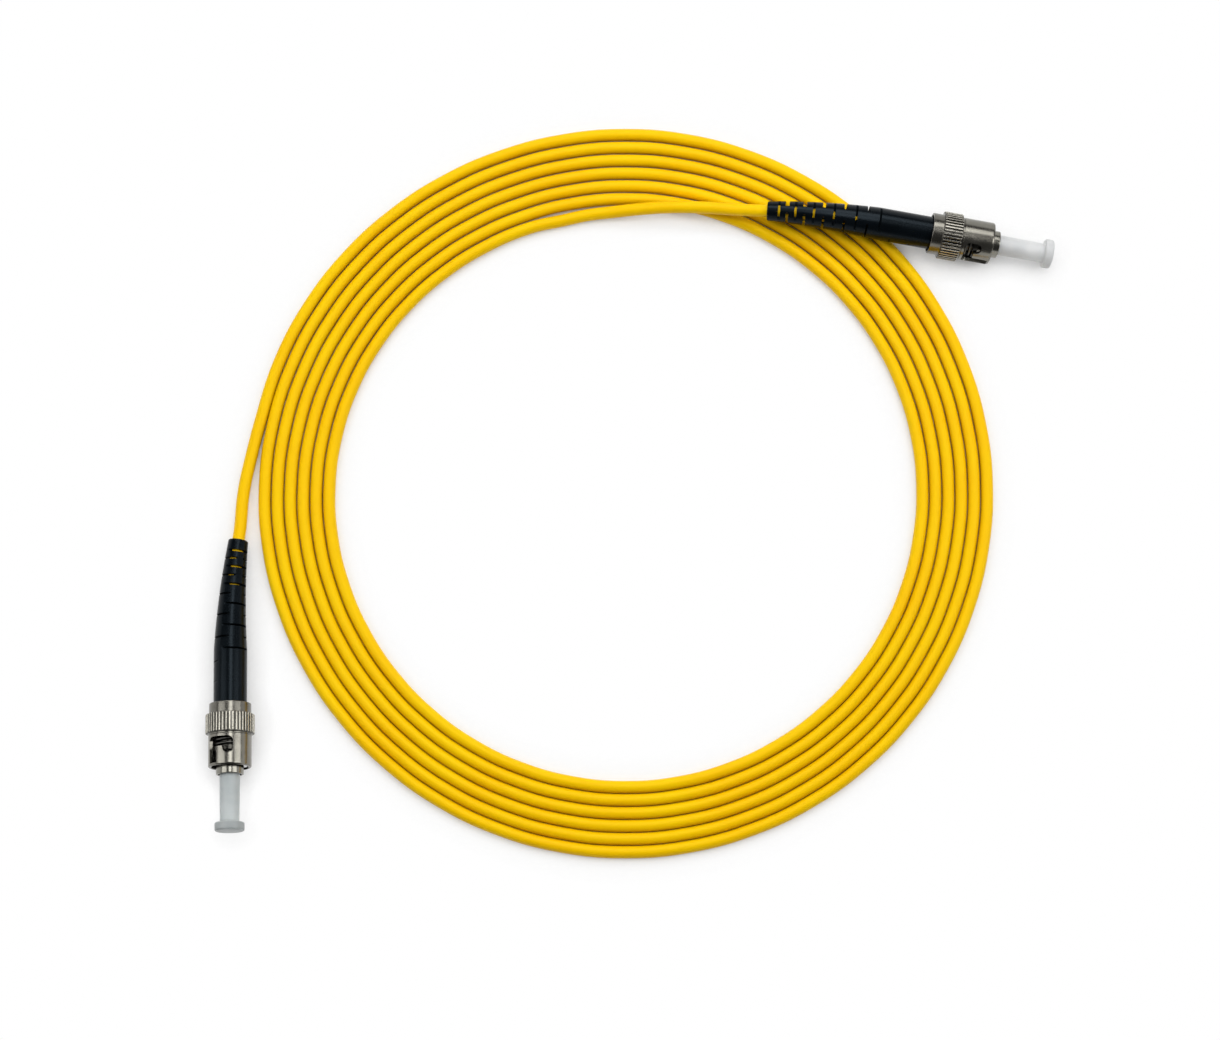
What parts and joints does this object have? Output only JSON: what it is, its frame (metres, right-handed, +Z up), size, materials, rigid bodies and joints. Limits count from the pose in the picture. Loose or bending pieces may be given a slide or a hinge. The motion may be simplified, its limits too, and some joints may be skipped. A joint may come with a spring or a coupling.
{
  "type": "fibre optic patch cord",
  "caption": "Yellow simplex fibre optic patch cord wound in a flat coil, with a bayonet plug, black strain relief boot and dust cap on each end.",
  "frame": {"origin": "on the plane the cord lies on, under the middle of the box round the two plugs", "axes": "+Z up, +X to the right from plug A towards plug B, +Y away from the viewer"},
  "size_m": [0.1897, 0.1656, 0.011],
  "materials": {
    "cap_plastic": "translucent, satin",
    "ceramic": "polished zirconia ceramic",
    "steel": "turned",
    "nickel": "nickel-plated brass",
    "spring_steel": "drawn wire",
    "aramid": "yarn, clamped",
    "buffer": "smooth",
    "jacket": "satin PVC",
    "boot_rubber": "satin elastomer"
  },
  "bodies": {
    "cord": {"ferrule_a": "ceramic", "ferrule_holder_a": "steel", "plug_body_a": "nickel", "nut_spring_a": "spring_steel", "retaining_ring_a": "spring_steel", "crimp_sleeve_a": "nickel", "aramid_yarn_a": "aramid", "buffered_fibre_a": "buffer", "cable_end_a": "jacket", "strain_relief_boot_a": "boot_rubber", "ferrule_b": "ceramic", "ferrule_holder_b": "steel", "plug_body_b": "nickel", "nut_spring_b": "spring_steel", "retaining_ring_b": "spring_steel", "crimp_sleeve_b": "nickel", "aramid_yarn_b": "aramid", "buffered_fibre_b": "buffer", "cable_end_b": "jacket", "strain_relief_boot_b": "boot_rubber", "cable_coil": "jacket", "cable_tail_a": "jacket", "cable_tail_b": "jacket"},
    "washer_a": {"thrust_washer_a": "steel"},
    "nut_a": {"coupling_nut_a": "nickel"},
    "cap_a": {"dust_cap_a": "cap_plastic"},
    "washer_b": {"thrust_washer_b": "steel"},
    "nut_b": {"coupling_nut_b": "nickel"},
    "cap_b": {"dust_cap_b": "cap_plastic"}
  },
  "joints": [
    {"name": "nut_push_a", "type": "slide", "parent": "cord", "child": "washer_a", "axis": [0.0278, -0.9964, 0.0803], "range_m": [0, 0.0022], "stiffness_N_per_m": 1800, "springref_m": -0.003, "deforming": ["nut_spring_a"]},
    {"name": "nut_turn_a", "type": "hinge", "parent": "washer_a", "child": "nut_a", "pos_m": [-0.08955, -0.04489, 0.00531], "axis": [0.0278, -0.9964, 0.0803], "continuous": true},
    {"name": "cap_pull_a", "type": "slide", "parent": "cord", "child": "cap_a", "axis": [0.0278, -0.9964, 0.0803], "range_m": [0, 0.03]},
    {"name": "nut_push_b", "type": "slide", "parent": "cord", "child": "washer_b", "axis": [0.9842, -0.1594, -0.0768], "range_m": [0, 0.0022], "stiffness_N_per_m": 1800, "springref_m": -0.003, "deforming": ["nut_spring_b"]},
    {"name": "nut_turn_b", "type": "hinge", "parent": "washer_b", "child": "nut_b", "pos_m": [0.06827, 0.06368, 0.00576], "axis": [0.9842, -0.1594, -0.0768], "continuous": true},
    {"name": "cap_pull_b", "type": "slide", "parent": "cord", "child": "cap_b", "axis": [0.9842, -0.1594, -0.0768], "range_m": [0, 0.03]}
  ]
}
